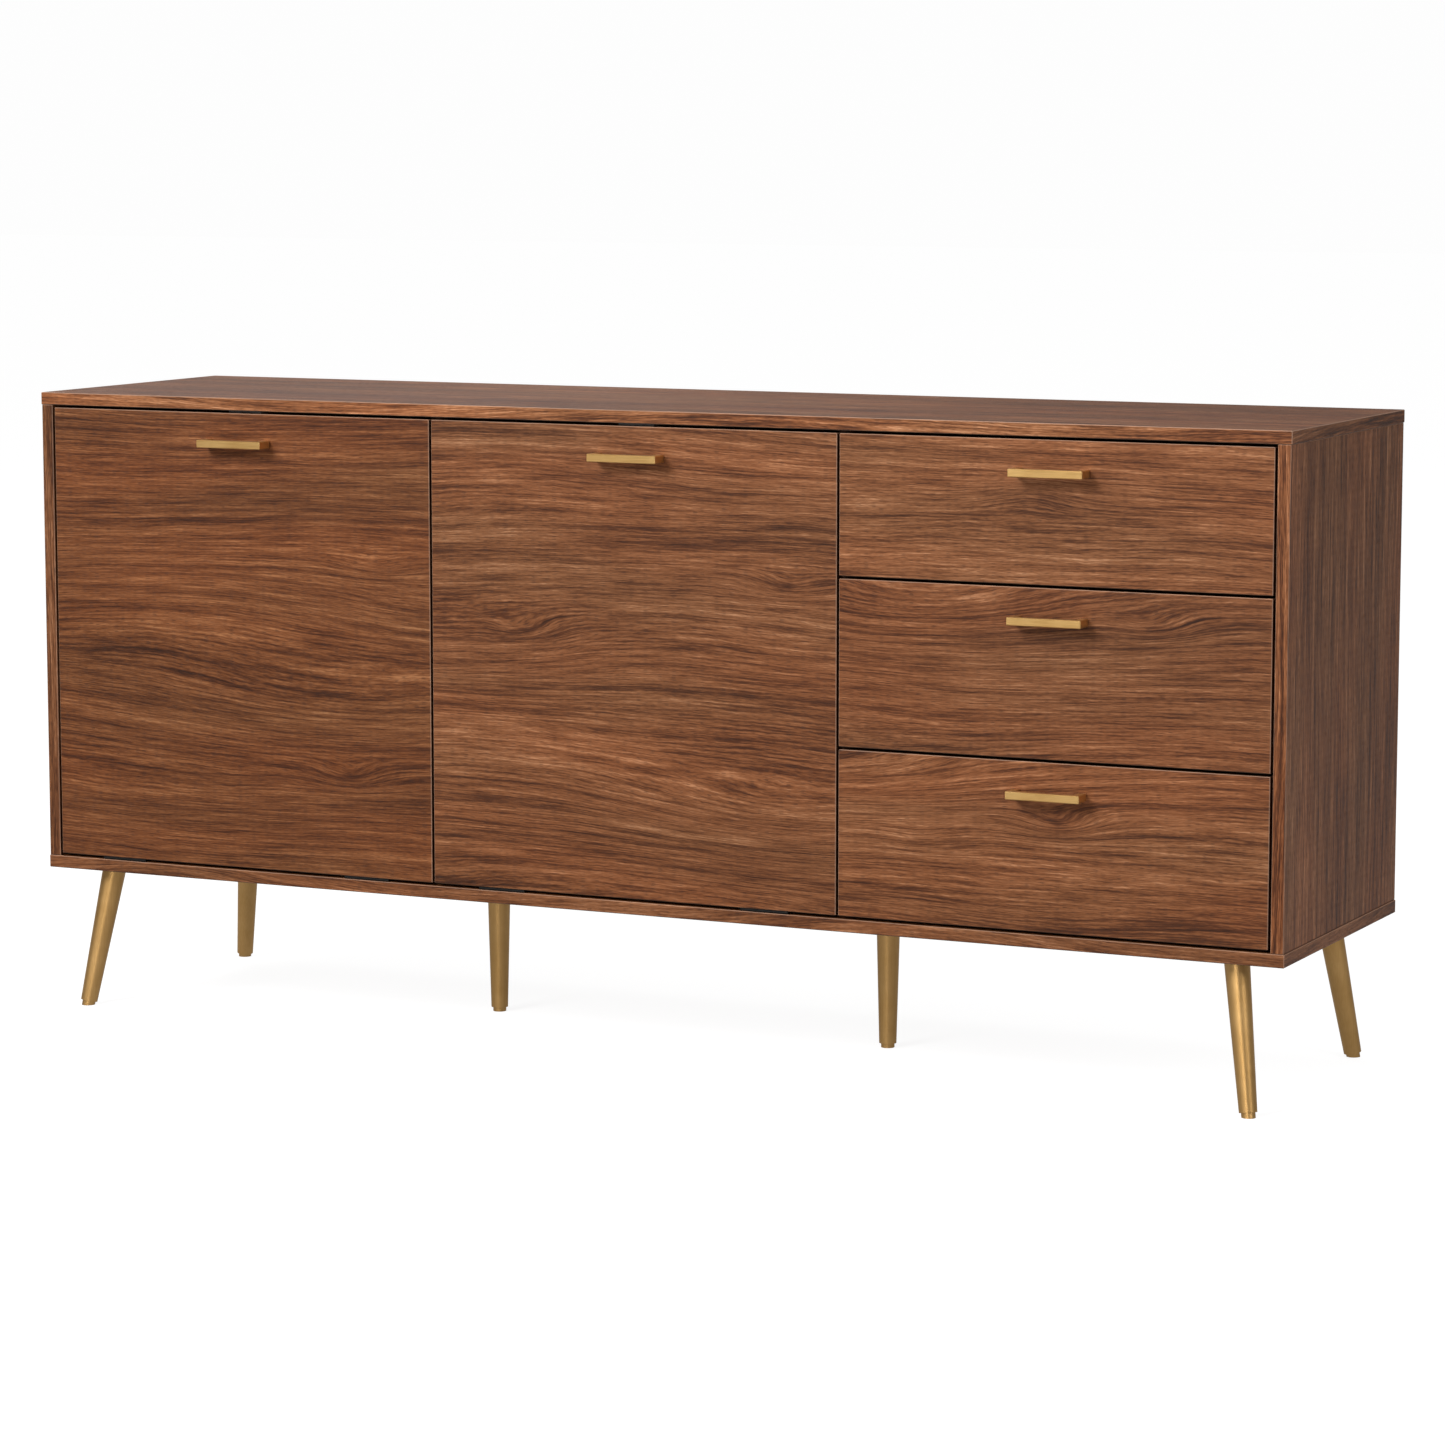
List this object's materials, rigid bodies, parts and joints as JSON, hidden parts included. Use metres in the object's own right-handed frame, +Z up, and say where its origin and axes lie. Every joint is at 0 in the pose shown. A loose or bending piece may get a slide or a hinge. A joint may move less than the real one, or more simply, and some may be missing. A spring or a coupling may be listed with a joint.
{
  "type": "sideboard buffet",
  "caption": "Low walnut sideboard on splayed tapered gold legs, with drop-front doors, a bank of drawers and square gold bar pulls, for storing tableware.",
  "frame": {"origin": "on the floor, under the middle of the whole object's bounding box", "axes": "+X to the object's right as seen from the front, +Y to its back, +Z up; the fronts face -Y"},
  "size_m": [1.6, 0.424, 0.758],
  "materials": {
    "walnut_veneer": "satin lacquered walnut veneer",
    "inner_walnut": "matt walnut laminate",
    "back_board": "matt brown hardboard",
    "gold_metal": "satin gold",
    "black_steel": "black oxide",
    "zinc_steel": "bright zinc plate",
    "grey_plastic": "moulded, fine texture",
    "beech": "raw beech"
  },
  "bodies": {
    "case": {"top_panel": "walnut_veneer", "bottom_panel": "walnut_veneer", "left_side_panel": "walnut_veneer", "right_side_panel": "walnut_veneer", "left_divider": "inner_walnut", "right_divider": "inner_walnut", "shelves": "inner_walnut", "back_panels": "back_board", "shelf_pins": "zinc_steel", "cam_locks": "zinc_steel", "cam_bolts": "zinc_steel", "leg_bolts": "zinc_steel", "runner_outer_rails": "zinc_steel", "stay_pivots": "zinc_steel", "case_screws": "zinc_steel", "wood_dowels": "beech", "front_left_leg": "gold_metal", "rear_left_leg": "gold_metal", "front_right_leg": "gold_metal", "rear_right_leg": "gold_metal", "left_middle_leg": "gold_metal", "right_middle_leg": "gold_metal", "leg_glides": "gold_metal", "hinge_base_leaves": "black_steel", "hinge_pins": "black_steel", "magnetic_catches": "grey_plastic"},
    "left_door": {"left_door_panel": "walnut_veneer", "left_door_handle": "gold_metal", "left_door_screws": "zinc_steel", "left_door_hinge_leaves": "black_steel", "left_door_stay_brackets": "zinc_steel", "left_door_strike_plate": "zinc_steel"},
    "left_door_stay_rods": {"left_door_stay_rods": "zinc_steel"},
    "left_door_stay_housings": {"left_door_stay_housings": "grey_plastic"},
    "middle_door": {"middle_door_panel": "walnut_veneer", "middle_door_handle": "gold_metal", "middle_door_screws": "zinc_steel", "middle_door_hinge_leaves": "black_steel", "middle_door_stay_brackets": "zinc_steel", "middle_door_strike_plate": "zinc_steel"},
    "middle_door_stay_rods": {"middle_door_stay_rods": "zinc_steel"},
    "middle_door_stay_housings": {"middle_door_stay_housings": "grey_plastic"},
    "top_drawer": {"top_drawer_front": "walnut_veneer", "top_drawer_box": "inner_walnut", "top_drawer_handle": "gold_metal", "top_drawer_fasteners": "zinc_steel", "top_drawer_inner_rails": "zinc_steel"},
    "top_drawer_ball_cages": {"top_drawer_ball_cages": "black_steel"},
    "middle_drawer": {"middle_drawer_front": "walnut_veneer", "middle_drawer_box": "inner_walnut", "middle_drawer_handle": "gold_metal", "middle_drawer_fasteners": "zinc_steel", "middle_drawer_inner_rails": "zinc_steel"},
    "middle_drawer_ball_cages": {"middle_drawer_ball_cages": "black_steel"},
    "bottom_drawer": {"bottom_drawer_front": "walnut_veneer", "bottom_drawer_box": "inner_walnut", "bottom_drawer_handle": "gold_metal", "bottom_drawer_fasteners": "zinc_steel", "bottom_drawer_inner_rails": "zinc_steel"},
    "bottom_drawer_ball_cages": {"bottom_drawer_ball_cages": "black_steel"}
  },
  "joints": [
    {"name": "left_door_hinge", "type": "hinge", "parent": "case", "child": "left_door", "pos_m": [-0.5203, -0.1864, 0.1888], "axis": [1, 0, 0], "range_deg": [0, 90]},
    {"name": "left_door_stay_rod_pivot", "type": "hinge", "parent": "left_door", "child": "left_door_stay_rods", "pos_m": [-0.5203, -0.163, 0.38743], "axis": [1, 0, 0], "range_deg": [-45, 0]},
    {"name": "left_door_stay_housing_pivot", "type": "hinge", "parent": "case", "child": "left_door_stay_housings", "pos_m": [-0.5203, -0.09648, 0.36744], "axis": [1, 0, 0], "range_deg": [0, 45]},
    {"name": "middle_door_hinge", "type": "hinge", "parent": "case", "child": "middle_door", "pos_m": [0.0039, -0.1864, 0.1888], "axis": [1, 0, 0], "range_deg": [0, 90]},
    {"name": "middle_door_stay_rod_pivot", "type": "hinge", "parent": "middle_door", "child": "middle_door_stay_rods", "pos_m": [0.0039, -0.163, 0.38743], "axis": [1, 0, 0], "range_deg": [-45, 0]},
    {"name": "middle_door_stay_housing_pivot", "type": "hinge", "parent": "case", "child": "middle_door_stay_housings", "pos_m": [0.0039, -0.09648, 0.36744], "axis": [1, 0, 0], "range_deg": [0, 45]},
    {"name": "top_drawer_slide", "type": "slide", "parent": "case", "child": "top_drawer", "axis": [0, -1, 0], "range_m": [0, 0.25]},
    {"name": "top_drawer_cage_slide", "type": "slide", "parent": "case", "child": "top_drawer_ball_cages", "axis": [0, -1, 0], "range_m": [0, 0.125]},
    {"name": "middle_drawer_slide", "type": "slide", "parent": "case", "child": "middle_drawer", "axis": [0, -1, 0], "range_m": [0, 0.25]},
    {"name": "middle_drawer_cage_slide", "type": "slide", "parent": "case", "child": "middle_drawer_ball_cages", "axis": [0, -1, 0], "range_m": [0, 0.125]},
    {"name": "bottom_drawer_slide", "type": "slide", "parent": "case", "child": "bottom_drawer", "axis": [0, -1, 0], "range_m": [0, 0.25]},
    {"name": "bottom_drawer_cage_slide", "type": "slide", "parent": "case", "child": "bottom_drawer_ball_cages", "axis": [0, -1, 0], "range_m": [0, 0.125]}
  ],
  "couplings": [
    {"joint": "left_door_stay_rod_pivot", "follows": "left_door_hinge", "ratio": -0.5},
    {"joint": "left_door_stay_housing_pivot", "follows": "left_door_hinge", "ratio": 0.5},
    {"joint": "middle_door_stay_rod_pivot", "follows": "middle_door_hinge", "ratio": -0.5},
    {"joint": "middle_door_stay_housing_pivot", "follows": "middle_door_hinge", "ratio": 0.5},
    {"joint": "top_drawer_cage_slide", "follows": "top_drawer_slide", "ratio": 0.5},
    {"joint": "middle_drawer_cage_slide", "follows": "middle_drawer_slide", "ratio": 0.5},
    {"joint": "bottom_drawer_cage_slide", "follows": "bottom_drawer_slide", "ratio": 0.5}
  ]
}
